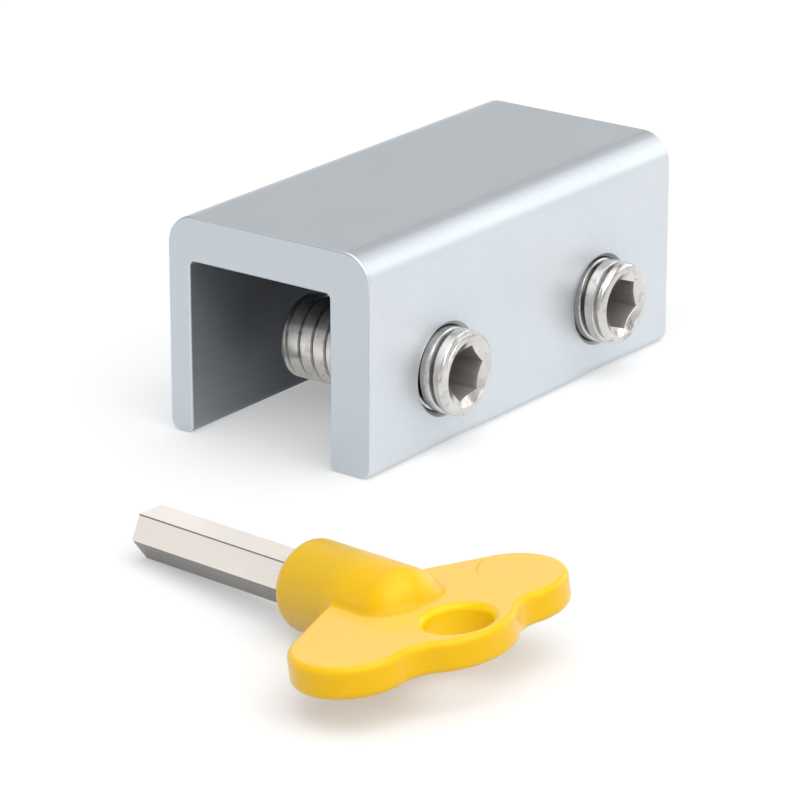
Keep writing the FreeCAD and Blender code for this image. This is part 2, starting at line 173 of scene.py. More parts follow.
for screw_low, screw_high in screw_boxes.values():
    hole_x, hole_z = (screw_low[0] + screw_high[0]) / 2.0, (screw_low[2] + screw_high[2]) / 2.0
    side = half_along if hole_x < 0.0 else -half_along[::-1]
    border = np.concatenate(
        [
            np.stack([side, np.full(len(side), panel_foot)], axis=-1),
            np.stack([np.full(len(panel_rise) - 1, side[-1]), panel_rise[1:]], axis=-1),
            np.stack([side[-2::-1], np.full(len(side) - 1, panel_head)], axis=-1),
            np.stack([np.full(len(panel_rise) - 1, side[0]), panel_rise[-2::-1]], axis=-1),
        ]
    )
    channel_sheets.append(drilled_panel(hole_x, hole_z, border, bore_mouth, screw_face))
    channel_sheets.append(drilled_panel(hole_x, hole_z, border, bore_mouth, inner_face))
    channel_sheets.append(drilled_wall(hole_x, hole_z, border, bore_radius, bore_mouth, screw_face, inner_face))

outer_rise = np.stack([np.full(len(panel_rise) - 2, screw_face), panel_rise[-2:0:-1]], axis=-1)
inner_rise = np.stack([np.full(len(panel_rise) - 2, inner_face), panel_rise[1:-1]], axis=-1)
section = np.concatenate([foot_run, inner_rise, body_run, outer_rise])
tangent = np.roll(section, -1, axis=0) - np.roll(section, 1, axis=0)
inward = np.stack([-tangent[:, 1], tangent[:, 0]], axis=-1) / np.linalg.norm(tangent, axis=1)[:, None]
lip_turn = np.radians(np.linspace(0.0, 90.0, 5))
lip_out = np.concatenate([end_break * np.sin(lip_turn), [end_break]])
lip_in = np.concatenate([end_break * (1.0 - np.cos(lip_turn)), [end_break + cap_guard]])
lip_ring = section[None] + lip_in[:, None, None] * inward[None]
lip_ring = np.concatenate([lip_ring, lip_ring[:, :1]], axis=1)
channel_caps = []
for end in (-1.0, 1.0):
    x = np.broadcast_to(end * (skin_end + lip_out)[:, None], lip_ring.shape[:2])
    rim = np.concatenate([x[..., None], lip_ring], axis=-1)
    channel_sheets.append(rim)
    channel_caps.append(rim[-1, :-1])
channel = joined_sheets("lock_channel_anodised", channel_sheets, channel_caps)


def new_finish(name):
    """Start a material and give back the material, its node tree and its Principled shader."""
    finish = bpy.data.materials.new(name)
    finish.use_nodes = True
    return finish, finish.node_tree, finish.node_tree.nodes["Principled BSDF"]


def object_place(tree):
    """Give the socket of the point on the surface, in the object's own coordinates."""
    return tree.nodes.new("ShaderNodeTexCoord").outputs["Object"]


def split_axes(tree, place):
    """Part a point socket into its X, Y and Z sockets."""
    node = tree.nodes.new("ShaderNodeSeparateXYZ")
    tree.links.new(place, node.inputs["Vector"])
    return node.outputs


def fleck_group():
    """Build the group that more than one finish uses: stretched noise at a given scale, as a value from 0 to 1."""
    group = bpy.data.node_groups.new("fine_fleck", "ShaderNodeTree")
    group.interface.new_socket("Vector", in_out="INPUT", socket_type="NodeSocketVector")
    stretch = group.interface.new_socket("Stretch", in_out="INPUT", socket_type="NodeSocketVector")
    stretch.default_value = (1.0, 1.0, 1.0)
    scale = group.interface.new_socket("Scale", in_out="INPUT", socket_type="NodeSocketFloat")
    scale.default_value = 1000.0
    group.interface.new_socket("Fleck", in_out="OUTPUT", socket_type="NodeSocketFloat")
    entry, leave = group.nodes.new("NodeGroupInput"), group.nodes.new("NodeGroupOutput")
    stretched = group.nodes.new("ShaderNodeVectorMath")
    stretched.operation = "MULTIPLY"
    noise = group.nodes.new("ShaderNodeTexNoise")
    noise.inputs["Detail"].default_value = 4.0
    noise.inputs["Roughness"].default_value = 0.6
    spread = group.nodes.new("ShaderNodeMapRange")
    spread.inputs["From Min"].default_value = 0.3
    spread.inputs["From Max"].default_value = 0.7
    group.links.new(entry.outputs["Vector"], stretched.inputs[0])
    group.links.new(entry.outputs["Stretch"], stretched.inputs[1])
    group.links.new(stretched.outputs["Vector"], noise.inputs["Vector"])
    group.links.new(entry.outputs["Scale"], noise.inputs["Scale"])
    group.links.new(noise.outputs["Fac"], spread.inputs["Value"])
    group.links.new(spread.outputs["Result"], leave.inputs["Fleck"])
    return group


fleck = fleck_group()


def add_fleck(tree, place, scale, stretch=(1.0, 1.0, 1.0)):
    """Place the fleck group in a finish, read at the given point socket, and give back its value socket."""
    node = tree.nodes.new("ShaderNodeGroup")
    node.node_tree = fleck
    node.inputs["Scale"].default_value = scale
    node.inputs["Stretch"].default_value = stretch
    tree.links.new(place, node.inputs["Vector"])
    return node.outputs["Fleck"]


def ranged(tree, value, low, high, start=0.0, stop=1.0):
    """Stretch a value socket from start..stop to low..high, held at the ends, and give back the result socket."""
    node = tree.nodes.new("ShaderNodeMapRange")
    for socket, number in (("From Min", start), ("From Max", stop), ("To Min", low), ("To Max", high)):
        node.inputs[socket].default_value = number
    tree.links.new(value, node.inputs["Value"])
    return node.outputs["Result"]


def between(tree, share, first, second):
    """Mix two colours, each a value or a socket, by a share socket and give back the colour socket."""
    node = tree.nodes.new("ShaderNodeMix")
    node.data_type = "RGBA"
    tree.links.new(share, node.inputs["Factor"])
    for socket, colour in ((node.inputs["A"], first), (node.inputs["B"], second)):
        if isinstance(colour, tuple):
            socket.default_value = colour + (1.0,)
        else:
            tree.links.new(colour, socket)
    return node.outputs["Result"]


def worked(tree, operation, first, second=0.0):
    """Put two values, each a number or a socket, through one Math node and give back the result socket."""
    node = tree.nodes.new("ShaderNodeMath")
    node.operation = operation
    for socket, value in ((node.inputs[0], first), (node.inputs[1], second)):
        if isinstance(value, (int, float)):
            socket.default_value = value
        else:
            tree.links.new(value, socket)
    return node.outputs["Value"]


def spread_from(tree, first, first_middle, second, second_middle):
    """Give the distance from a middle, in millimetres on two axes: the root of the sum of the squared offsets."""
    squares = []
    for value, middle in ((first, first_middle), (second, second_middle)):
        off = worked(tree, "SUBTRACT", value, middle * MM)
        squares.append(worked(tree, "MULTIPLY", off, off))
    return worked(tree, "SQRT", worked(tree, "ADD", *squares))


def raised(tree, shader, height, distance):
    """Raise the surface by a height socket, times a distance in metres, through a Bump node on the Normal."""
    node = tree.nodes.new("ShaderNodeBump")
    node.inputs["Distance"].default_value = distance
    tree.links.new(height, node.inputs["Height"])
    tree.links.new(node.outputs["Normal"], shader.inputs["Normal"])


bright_skin, dull_skin, grain_tone = (0.674, 0.715, 0.747), (0.710, 0.750, 0.780), (0.630, 0.668, 0.702)
sawn_end_shade_tone, bore_gap_shade_tone = (0.561, 0.603, 0.637), (0.090, 0.090, 0.093)
# Painted shade: the faces inside the slot take a dark tone, darker still away from the open ends.
slot_shade_tone, slot_shade_fleck_tone, slot_deep_shade_tone = (0.335, 0.360, 0.385), (0.380, 0.405, 0.430), (0.165, 0.180, 0.200)
drawn_out, most_grain, grain_height, skin_relief = (0.012, 1.0, 1.0), 0.45, 0.5, 0.0000015
satin_least, satin_most, slot_rub, hole_rub = 0.34, 0.44, 0.18, 0.14
slot_side, slot_top = slot_half + 0.6 * foot_inner_round, slot_ceiling + 0.01
sawn_from, leg_side = half_length - 0.02, inner_face + 0.05
gap_shade_from, gap_shade_to = bore_mouth - 0.46, bore_mouth - 0.30
shade_deep_from, shade_deep_to = half_length - 14.0, half_length - 1.0
rubbed_from, rubbed_to = 5.0, 8.5
anodised, tree, shader = new_finish("satin_anodised_aluminium")
place = object_place(tree)
axes = split_axes(tree, place)
cloud = add_fleck(tree, place, 90.0)
grain = add_fleck(tree, place, 3800.0)
die_line = add_fleck(tree, place, 2400.0, drawn_out)
across_slot, along_bar = worked(tree, "ABSOLUTE", axes["Y"]), worked(tree, "ABSOLUTE", axes["X"])
within_slot = worked(tree, "LESS_THAN", across_slot, slot_side * MM)
under_web = worked(tree, "LESS_THAN", axes["Z"], slot_top * MM)
short_of_end = worked(tree, "LESS_THAN", along_bar, skin_end * MM)
inside = worked(tree, "MULTIPLY", worked(tree, "MULTIPLY", within_slot, under_web), short_of_end)
sawn = worked(tree, "GREATER_THAN", along_bar, sawn_from * MM)
deeper_shade = ranged(tree, along_bar, 1.0, 0.0, shade_deep_from * MM, shade_deep_to * MM)
off_axis = spread_from(tree, along_bar, screw_across, axes["Z"], screw_height)
tapped_leg = worked(tree, "LESS_THAN", axes["Y"], leg_side * MM)
# Painted shade: a near-black ring round each screw on the tapped leg, for the shade in the gap between screw and
# bore.
bore_gap_ring = ranged(tree, off_axis, 1.0, 0.0, gap_shade_from * MM, gap_shade_to * MM)
bore_gap_shade = worked(tree, "MULTIPLY", bore_gap_ring, tapped_leg)
pale = between(tree, cloud, bright_skin, dull_skin)
flecked = between(tree, ranged(tree, grain, 0.0, most_grain), pale, grain_tone)
# Partly painted shade: the sawn end faces take a darker tone than the sides, for the shade they stand in as well as
# their duller sawn finish.
shaded_cut_end = between(tree, sawn, flecked, sawn_end_shade_tone)
# Painted shade inside the slot, deepest towards the middle of its length.
painted_slot_shade = between(tree, deeper_shade, between(tree, grain, slot_shade_tone, slot_shade_fleck_tone), slot_deep_shade_tone)
slot_shaded = between(tree, inside, shaded_cut_end, painted_slot_shade)
tree.links.new(between(tree, bore_gap_shade, slot_shaded, bore_gap_shade_tone), shader.inputs["Base Color"])
shader.inputs["Metallic"].default_value = 1.0
satin = ranged(tree, worked(tree, "ADD", grain, die_line), satin_least, satin_most, 0.0, 2.0)
round_hole = ranged(tree, off_axis, hole_rub, 0.0, rubbed_from * MM, rubbed_to * MM)
by_hole = worked(tree, "MULTIPLY", round_hole, tapped_leg)
rubbed = worked(tree, "ADD", worked(tree, "MULTIPLY", inside, slot_rub), by_hole)
tree.links.new(worked(tree, "ADD", satin, rubbed), shader.inputs["Roughness"])
relief = worked(tree, "ADD", worked(tree, "MULTIPLY", grain, grain_height), die_line)
raised(tree, shader, relief, skin_relief)
channel.data.materials.append(anodised)
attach(channel, "lock")
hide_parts("lock_channel")

# Set screws: two M8 screws rolled from steel wire and nickel plated, with a hexagon socket broached in one end.
# They run in the tapped leg, and their plain ends close on the rail when the key turns them.
thread_pitch, thread_depth, screw_end_round = 1.5, 0.52, 0.6
mouth_radius, mouth_depth, socket_flats, socket_depth = 3.1, 1.8, 4.5, 5.0
socket_turns = {"set_screw_front": 10.0, "set_screw_rear": 40.0}
thread_starts = {"set_screw_front": 0.379, "set_screw_rear": 0.856}
around, rows_in_turn = 108, 36


def threaded_side(radius, length, start):
    """Give the screw's threaded side as rows of (radius, depth) at every angle.
    The rows follow the thread: depth = pitch x (turns - angle / full turn), and the radius falls from a broad
    crest down a flank to a narrow root, which is slimmer and shallower over the inner half; within the end round
    the radius is held under a quarter circle. Each turn has the same rows, so a row's end meets the next turn's
    start."""
    from_root = np.array([0.0, 0.04, 0.07, 0.10, 0.14, 0.17, 0.20, 0.24])
    sunk = np.array([1.0, 0.98, 0.90, 0.70, 0.36, 0.14, 0.02, 0.0])
    turns = int(length / thread_pitch)
    row = np.arange(-2 * rows_in_turn, (turns + 2) * rows_in_turn) / rows_in_turn + start
    angle = np.linspace(0.0, 2.0 * np.pi, around + 1)
    depth = np.clip(thread_pitch * (row[:, None] - angle / (2.0 * np.pi) + 0.5), 0.0, length)
    slim = np.interp(depth, (0.5 * length, 0.7 * length), (1.0, 0.5))
    off_root = np.abs(np.mod(row - start, 1.0) - 0.5)[:, None] / slim
    fall = slim ** 0.6 * np.interp(off_root, from_root, sunk)
    short = 1.0 - np.clip(np.minimum(depth, length - depth) / screw_end_round, 0.0, 1.0)
    held = radius - screw_end_round + screw_end_round * np.sqrt(1.0 - short ** 2)
    return np.minimum(radius - thread_depth * fall, held), depth, angle


def hexagon_reach(angle, turn):
    """Give the hexagon's reach at an angle: half the flats over the cosine of the angle from the nearest flat."""
    off = np.mod(angle - np.radians(turn), np.pi / 3.0) - np.pi / 6.0
    return socket_flats / 2.0 / np.cos(off)


def set_screw(name, low, high, turn, start):
    """Make one screw of rings of (radius, depth) at every angle: the threaded side, the end ring and countersink
    down to the hexagon with the socket's walls and floor, and the plain tip."""
    radius, length = (high[0] - low[0]) / 2.0, high[1] - low[1]
    centre_x, centre_z = (low[0] + high[0]) / 2.0, (low[2] + high[2]) / 2.0
    reach, depth, angle = threaded_side(radius, length, start)
    angle = angle + np.radians(turn)
    end_reach = radius - screw_end_round
    hexagon = hexagon_reach(angle, turn)
    ones = np.ones_like(angle)
    sink = (mouth_radius - hexagon) * mouth_depth / mouth_radius
    ring_reach = np.stack(
        [
            end_reach * ones, (end_reach * 0.4 + mouth_radius * 0.6) * ones, (mouth_radius + 0.02) * ones,
            (mouth_radius - 0.04) * ones, hexagon + 0.03, hexagon, hexagon, hexagon, hexagon, 0.9 * hexagon,
            0.4 * hexagon, 0.0 * ones,
        ]
    )
    ring_depth = np.stack(
        [
            0.0 * ones, 0.0 * ones, 0.0 * ones, 0.05 * ones, sink - 0.02, sink + 0.04, sink + 0.5,
            0.5 * socket_depth * ones, socket_depth * ones, (socket_depth + 0.05) * ones,
            (socket_depth + 0.45) * ones, (socket_depth + 0.75) * ones,
        ]
    )
    tip_reach = np.stack([end_reach * ones, 0.97 * end_reach * ones, 0.0 * ones])
    tip_depth = np.stack([length * ones, length * ones, length * ones])
    sheets = []
    for sheet_reach, sheet_depth in ((reach, depth), (ring_reach, ring_depth), (tip_reach, tip_depth)):
        x = centre_x + sheet_reach * np.cos(angle)
        z = centre_z + sheet_reach * np.sin(angle)
        sheets.append(np.stack([x, low[1] + sheet_depth, z], axis=-1))
    return joined_sheets(name, sheets, crease=28.0)


nickel_bright, nickel_dull = (0.73, 0.710, 0.685), (0.58, 0.560, 0.535)
mark_tone, root_shade_tone = (0.26, 0.24, 0.22), (0.11, 0.10, 0.09)
socket_bright, socket_dull = (0.36, 0.335, 0.31), (0.28, 0.26, 0.24)
root_shade_from, root_shade_to, root_shade_share = screw_radius - thread_depth, screw_radius - 0.12, 0.85
mark_from, mark_to, mark_share = 0.62, 1.0, 0.55
turned_round, scored_along = (0.25, 1.0, 0.25), (1.0, 0.05, 1.0)
turned_relief, scored_relief = 0.000002, 0.000003
plated, tree, shader = new_finish("nickel_plated_steel")
place = object_place(tree)
axes = split_axes(tree, place)
off_axis = spread_from(tree, worked(tree, "ABSOLUTE", axes["X"]), screw_across, axes["Z"], screw_height)
# Painted shade: the thread roots are darkened towards the bottom of each groove, on the threaded side only.
root_shade = ranged(tree, off_axis, root_shade_share, 0.0, root_shade_from * MM, root_shade_to * MM)
on_side = worked(tree, "GREATER_THAN", axes["Y"], (front_low[1] + screw_end_round) * MM)
root_shade = worked(tree, "MULTIPLY", root_shade, on_side)
cloud = add_fleck(tree, place, 420.0)
turned = add_fleck(tree, place, 3000.0, turned_round)
handled = ranged(tree, add_fleck(tree, place, 1100.0), 0.0, mark_share, mark_from, mark_to)
marked = between(tree, handled, between(tree, cloud, nickel_bright, nickel_dull), mark_tone)
tree.links.new(between(tree, root_shade, marked, root_shade_tone), shader.inputs["Base Color"])
shader.inputs["Metallic"].default_value = 1.0
tree.links.new(ranged(tree, turned, 0.14, 0.26), shader.inputs["Roughness"])
raised(tree, shader, turned, turned_relief)
broached, tree, shader = new_finish("broached_socket_steel")
scored = add_fleck(tree, object_place(tree), 2600.0, scored_along)
tree.links.new(between(tree, scored, socket_bright, socket_dull), shader.inputs["Base Color"])
shader.inputs["Metallic"].default_value = 0.35
tree.links.new(ranged(tree, scored, 0.45, 0.6), shader.inputs["Roughness"])
raised(tree, shader, scored, scored_relief)
for screw_node, body in (("set_screw_front", "front_screw"), ("set_screw_rear", "rear_screw")):
    low, high = screw_boxes[screw_node]
    screw = set_screw(screw_node + "_threaded", low, high, socket_turns[screw_node], thread_starts[screw_node])
    middles = np.empty(3 * len(screw.data.polygons))
    screw.data.polygons.foreach_get("center", middles)
    outer_end = np.array([(low[0] + high[0]) / 2.0, low[1], (low[2] + high[2]) / 2.0])
    x, depth, z = (middles.reshape(-1, 3) / MM - outer_end).T
    off = np.hypot(x, z)
    sunk = (mouth_radius - off) * mouth_depth / mouth_radius
    within_corners = off < socket_flats / np.sqrt(3.0) + 0.01
    in_socket = within_corners & (depth > sunk + 0.02) & (depth < socket_depth + 1.0)
    screw.data.materials.append(plated)
    screw.data.materials.append(broached)
    screw.data.polygons.foreach_set("material_index", in_socket.astype(np.int32))
    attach(screw, body)
    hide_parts(screw_node)

# Key blade: a length of bright drawn hexagon steel, chamfered at the tip, that fits the screws' sockets.
# It lies in front of the lock, at the slope that its tip and the front of the collar give it on the table.
blade_flats, blade_corner, blade_bevel, blade_start, blade_tip = 4.1, 0.12, 0.3, 8.7, 39.7
key_heading, key_slope, key_roll = 77.3, 4.736, -4.8
key_origin = mounts["key_ring_hole"]
key_turn = np.array(
    Matrix.Rotation(np.radians(key_heading), 3, "Z")
    @ Matrix.Rotation(np.radians(key_slope), 3, "Y")
    @ Matrix.Rotation(np.radians(key_roll), 3, "X")
)


def laid_down(points):
    """Take points from the key's own axes, along, across and off the bow, to their place on the table."""
    return points @ key_turn.T + key_origin


def key_place(tree):
    """Give the socket of the point on the surface, turned and moved back to the key's own axes."""
    turn_back = tree.nodes.new("ShaderNodeMapping")
    turn_back.vector_type = "TEXTURE"
    turn_back.inputs["Location"].default_value = key_origin * MM
    turn_back.inputs["Rotation"].default_value = Matrix(key_turn.tolist()).to_euler("XYZ")
    tree.links.new(object_place(tree), turn_back.inputs["Vector"])
    return turn_back.outputs["Vector"]


def rounded_hexagon(flats, corner, per_corner=7, guard=0.06):
    """Give a hexagon of the given flats with rounded corners as a closed ring: each corner is an arc of one sixth
    turn about a centre drawn in along the corner's spoke, with a guard point on each flat."""
    spoke = np.radians(np.arange(6) * 60.0)
    drawn_in = flats / np.sqrt(3.0) - corner / np.cos(np.pi / 6.0)
    centre = drawn_in * np.stack([np.cos(spoke), np.sin(spoke)], axis=-1)
    a = spoke[:, None] + np.linspace(-np.pi / 6.0, np.pi / 6.0, per_corner)
    arc = centre[:, None, :] + corner * np.stack([np.cos(a), np.sin(a)], axis=-1)
    first_flat = np.stack([np.sin(a[:, 0]), -np.cos(a[:, 0])], axis=-1)
    last_flat = np.stack([-np.sin(a[:, -1]), np.cos(a[:, -1])], axis=-1)
    before = arc[:, 0] + guard * first_flat
    after = arc[:, -1] + guard * last_flat
    ring = np.concatenate([before[:, None], arc, after[:, None]], axis=1).reshape(-1, 2)
    return np.concatenate([ring, ring[:1]])


ring = rounded_hexagon(blade_flats, blade_corner)
tip_turn = np.radians(np.linspace(0.0, 90.0, 5))
shank_end = blade_tip - blade_bevel
shank = [blade_start, blade_start + 4.0, 20.0, 30.0, shank_end - 0.2]
along = np.concatenate([shank, shank_end + blade_bevel * np.sin(tip_turn)])
drawn_in = np.concatenate([np.zeros(len(shank)), blade_bevel * (1.0 - np.cos(tip_turn))])
swell = 1.0 - 2.0 * drawn_in / blade_flats
along_ring = np.broadcast_to(along[:, None], (len(along), len(ring)))
blade_skin = np.stack([along_ring, swell[:, None] * ring[:, 0], swell[:, None] * ring[:, 1]], axis=-1)
guard_ring = blade_skin[-1:] * np.array([1.0, 0.95, 0.95])
blade_skin = laid_down(np.concatenate([blade_skin, guard_ring]))
blade = joined_sheets("key_blade_drawn", [blade_skin], [blade_skin[-1, :-1], blade_skin[0, :-1]], crease=40.0)
steel_bright, steel_dull = (0.930, 0.870, 0.805), (0.885, 0.825, 0.760)
corner_shade_tone, underside_shade_tone = (0.16, 0.145, 0.13), (0.24, 0.225, 0.21)
flat_from, corner_shade_from, underside_shade_from = blade_flats / 2.0 - 0.04, blade_flats / 2.0 - 0.15, -0.06
corner_shade_share, side_metal, top_metal, line_relief = 0.9, 0.55, 0.25, 0.000002
drawn, tree, shader = new_finish("bright_drawn_steel")
place = key_place(tree)
axes = split_axes(tree, place)
die_line = add_fleck(tree, place, 3600.0, drawn_out)
cloud = add_fleck(tree, place, 300.0, (0.25, 1.0, 1.0))
upper_flat = worked(tree, "GREATER_THAN", axes["Z"], flat_from * MM)
# Painted shade: a dark line along the rounded corners just under the top flat.
near_corner = worked(tree, "GREATER_THAN", axes["Z"], corner_shade_from * MM)
corner_shade_line = worked(tree, "MULTIPLY", worked(tree, "SUBTRACT", near_corner, upper_flat), corner_shade_share)
short_of_tip = worked(tree, "LESS_THAN", axes["X"], (blade_tip - 0.01) * MM)
# Painted shade: the facets under the blade are darkened, short of the tip.
underside_shade = worked(tree, "MULTIPLY", ranged(tree, axes["Z"], 1.0, 0.0, underside_shade_from * MM, 0.0), short_of_tip)
lined = between(tree, corner_shade_line, between(tree, cloud, steel_bright, steel_dull), corner_shade_tone)
tree.links.new(between(tree, underside_shade, lined, underside_shade_tone), shader.inputs["Base Color"])
tree.links.new(ranged(tree, upper_flat, side_metal, top_metal), shader.inputs["Metallic"])
tree.links.new(ranged(tree, die_line, 0.24, 0.36), shader.inputs["Roughness"])
raised(tree, shader, die_line, line_relief)
blade.data.materials.append(drawn)
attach(blade, "lock")
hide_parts("key_blade")

# Key bow: a butterfly grip moulded in glossy yellow plastic straight onto the blade, in one shot.
# A round collar covers the blade's end and runs out in a soft nose over the plate, which has a ring hole.
nose_along, collar_front, collar_radius, nose_round, collar_round = 4.5, 18.7, 3.95, 2.8, 1.1
plate_half, plate_round, blend_round, grip_gap = 1.375, 0.6, 0.6, 0.02
wing_centre, wing_radius = np.array([3.4, 8.2]), 5.0
lobe_centre, lobe_radius = np.array([2.35, 0.0]), 6.3
shoulder_point, valley_radius = np.array([13.4, 0.0]), 3.3
ring_hole_radius, ring_hole_lip, ring_hole_under_lip = 2.8, 0.65, 0.2


def meeting(first, first_reach, second, second_reach, side):
    """Give the point at two distances from two centres, on the chosen side of the line between them."""
    gap = second - first
    span = np.linalg.norm(gap)
    along = (first_reach ** 2 - second_reach ** 2 + span ** 2) / (2.0 * span)
    off = np.sqrt(first_reach ** 2 - along ** 2)
    return first + gap * along / span + np.array([-gap[1], gap[0]]) * side * off / span


def arc_points(centre, radius, start, stop, count=40):
    """Give points round a centre from one point's direction to another's, the short way."""
    first = np.arctan2(*(start - centre)[::-1])
    turn = np.mod(np.arctan2(*(stop - centre)[::-1]) - first + np.pi, 2.0 * np.pi) - np.pi
    a = first + turn * np.linspace(0.0, 1.0, count)
    return centre + radius * np.stack([np.cos(a), np.sin(a)], axis=-1)


valley = meeting(lobe_centre, lobe_radius + valley_radius, wing_centre, wing_radius + valley_radius, 1.0)
wing_valley = wing_centre + (valley - wing_centre) * wing_radius / np.linalg.norm(valley - wing_centre)
lobe_valley = lobe_centre + (valley - lobe_centre) * lobe_radius / np.linalg.norm(valley - lobe_centre)
edge_length = np.sqrt(np.sum((wing_centre - shoulder_point) ** 2) - wing_radius ** 2)
wing_edge = meeting(shoulder_point, edge_length, wing_centre, wing_radius, -1.0)
wing_tip = wing_centre + np.array([-0.25, 0.97]) * wing_radius
lobe_end = lobe_centre - np.array([lobe_radius, 0.0])
half_outline = np.concatenate(
    [
        shoulder_point[None],
        arc_points(wing_centre, wing_radius, wing_edge, wing_tip)[:-1],
        arc_points(wing_centre, wing_radius, wing_tip, wing_valley),
        arc_points(valley, valley_radius, wing_valley, lobe_valley)[1:],
        arc_points(lobe_centre, lobe_radius, lobe_valley, lobe_end)[1:],
    ]
)
outline = np.concatenate([half_outline, half_outline[-2:0:-1] * np.array([1.0, -1.0])])


def outline_distance(along, across):
    """Give the distance from the bow's outline, less than nil within: the least distance to its short straight
    pieces, with the sign of how many of them a ray along the key crosses."""
    spot = np.stack([along, across], axis=-1).reshape(-1, 1, 2)
    start, stop = outline, np.roll(outline, -1, axis=0)
    step = stop - start
    off = spot - start
    share = np.clip(np.sum(off * step, axis=-1) / np.sum(step * step, axis=-1), 0.0, 1.0)
    nearest = np.min(np.sum((off - share[..., None] * step) ** 2, axis=-1), axis=1)
    above = start[:, 1] > spot[..., 1]
    crossed = above != (stop[:, 1] > spot[..., 1])
    rise = np.where(np.abs(step[:, 1]) < 1e-12, 1e-12, step[:, 1])
    ahead = spot[..., 0] < start[:, 0] + (spot[..., 1] - start[:, 1]) * step[:, 0] / rise
    within = np.sum(crossed & ahead, axis=1) % 2 == 1
    return (np.sqrt(nearest) * np.where(within, -1.0, 1.0)).reshape(np.shape(along))


plan_cell = 0.1
plan_along, plan_across = np.arange(-5.5, 20.0, plan_cell), np.arange(-14.5, 14.6, plan_cell)
plan_parts = [np.meshgrid(part, plan_across, indexing="ij") for part in np.array_split(plan_along, 16)]
plan = np.concatenate([outline_distance(*part) for part in plan_parts])


def read_plan(along, across):
    """Read the outline's distance between the plan's points, by shares of the four that stand round a place."""
    i = np.clip((along - plan_along[0]) / plan_cell, 0.0, len(plan_along) - 1.001)
    j = np.clip((across - plan_across[0]) / plan_cell, 0.0, len(plan_across) - 1.001)
    i0, j0 = i.astype(int), j.astype(int)
    a, b = i - i0, j - j0
    low = plan[i0, j0] * (1.0 - a) + plan[i0 + 1, j0] * a
    high = plan[i0, j0 + 1] * (1.0 - a) + plan[i0 + 1, j0 + 1] * a
    return low * (1.0 - b) + high * b


def rounded_form(side, face, edge_round):
    """Give the distance from a form with two sharp walls whose edge is rounded: each wall's distance is drawn in by
    the round, the two meet as a corner, and the corner is grown again by the same round."""
    side, face = side + edge_round, face + edge_round
    corner = np.hypot(np.maximum(side, 0.0), np.maximum(face, 0.0))
    return corner + np.minimum(np.maximum(side, face), 0.0) - edge_round


def plate_and_collar(along, across, off):
    """Give the distances from the plate with its rounded rims and from the round collar with its rounded nose and
    front, each less than nil within."""
    plate = rounded_form(read_plan(along, across), np.abs(off) - plate_half, plate_round)
    middle = (nose_along + collar_front) / 2.0
    end_distance = np.abs(along - middle) - (collar_front - nose_along) / 2.0
    end_edge = np.where(along < middle, nose_round, collar_round)
    collar = rounded_form(np.hypot(across, off) - collar_radius, end_distance, end_edge)
    return plate, collar


def bow_distance(along, across, off):
    """Give the distance from the bow's skin, less than nil within.
    The plate and the collar are joined with a hollow of the blend's radius, then the ring hole with its rounded
    lips and the blade's hexagon are taken out."""
    plate, collar = plate_and_collar(along, across, off)
    hollow = np.hypot(np.maximum(blend_round - plate, 0.0), np.maximum(blend_round - collar, 0.0))
    joined = np.maximum(blend_round, np.minimum(plate, collar)) - hollow
    hole = ring_hole_radius - np.hypot(along, across)
    bored = rounded_form(joined, hole, np.where(off > 0.0, ring_hole_lip, ring_hole_under_lip))
    spoke = np.mod(np.arctan2(off, across), np.pi / 3.0) - np.pi / 6.0
    from_flat = np.hypot(across, off) * np.cos(spoke) - blade_flats / 2.0 - grip_gap
    return np.maximum(bored, -np.maximum(from_flat, blade_start - along))


def slope_of(distance, points, probe=0.01):
    """Give the slope of a distance at points: on each axis, its change over a short step, over that step."""
    steps = probe * np.eye(3)
    changes = [distance(*(points + step).T) - distance(*(points - step).T) for step in steps]
    return np.stack(changes, axis=-1) / (2.0 * probe)


def skin_of(distance, low, high, cell):
    """Find the skin where a distance is nil on a grid of points.
    Every cell with both signs at its corners gets a point, the mean of the crossings on its edges; every grid edge
    that crosses the skin gets a face of its four cells; then the points slide down the distance's slope to where
    it is nil."""
    axis = [np.arange(a, b + cell, cell) for a, b in zip(low, high)]
    spots = np.meshgrid(*axis, indexing="ij")
    value = distance(*spots)
    inside = value < 0.0
    shape = np.array(value.shape) - 1
    total, count = np.zeros(tuple(shape) + (3,)), np.zeros(tuple(shape))
    for way in range(3):
        others = [k for k in range(3) if k != way]
        for first in (0, 1):
            for second in (0, 1):
                near = [slice(None, -1)] * 3
                near[others[0]] = slice(first, shape[others[0]] + first)
                near[others[1]] = slice(second, shape[others[1]] + second)
                far = list(near)
                far[way] = slice(1, None)
                near, far = tuple(near), tuple(far)
                crossed = inside[near] != inside[far]
                gap = np.where(crossed, value[near] - value[far], 1.0)
                share = np.where(crossed, value[near] / gap, 0.0)
                for k in range(3):
                    crossing = spots[k][near] + (cell * share if k == way else 0.0)
                    total[..., k] += np.where(crossed, crossing, 0.0)
                count += crossed
    used = count > 0
    number = np.full(used.shape, -1)
    number[used] = np.arange(np.sum(used))
    points = total[used] / count[used][:, None]
    quads = []
    for way in range(3):
        first, second = [k for k in range(3) if k != way]
        near, far = [slice(1, -1)] * 3, [slice(1, -1)] * 3
        near[way], far[way] = slice(None, -1), slice(1, None)
        flips = inside[tuple(near)] != inside[tuple(far)]
        at = np.argwhere(flips)
        at[:, first] += 1
        at[:, second] += 1
        corners = []
        for da, db in ((0, 0), (1, 0), (1, 1), (0, 1)):
            cell_at = at.copy()
            cell_at[:, first] -= da
            cell_at[:, second] -= db
            corners.append(number[tuple(cell_at.T)])
        quads.append(np.stack(corners, axis=-1))
    for _ in range(4):
        slope = slope_of(distance, points)
        steep = np.maximum(np.sum(slope * slope, axis=-1), 0.25)
        slide = np.clip(distance(*points.T) / steep, -0.5 * cell, 0.5 * cell)
        points = points - slide[:, None] * slope
    return points, np.concatenate(quads)


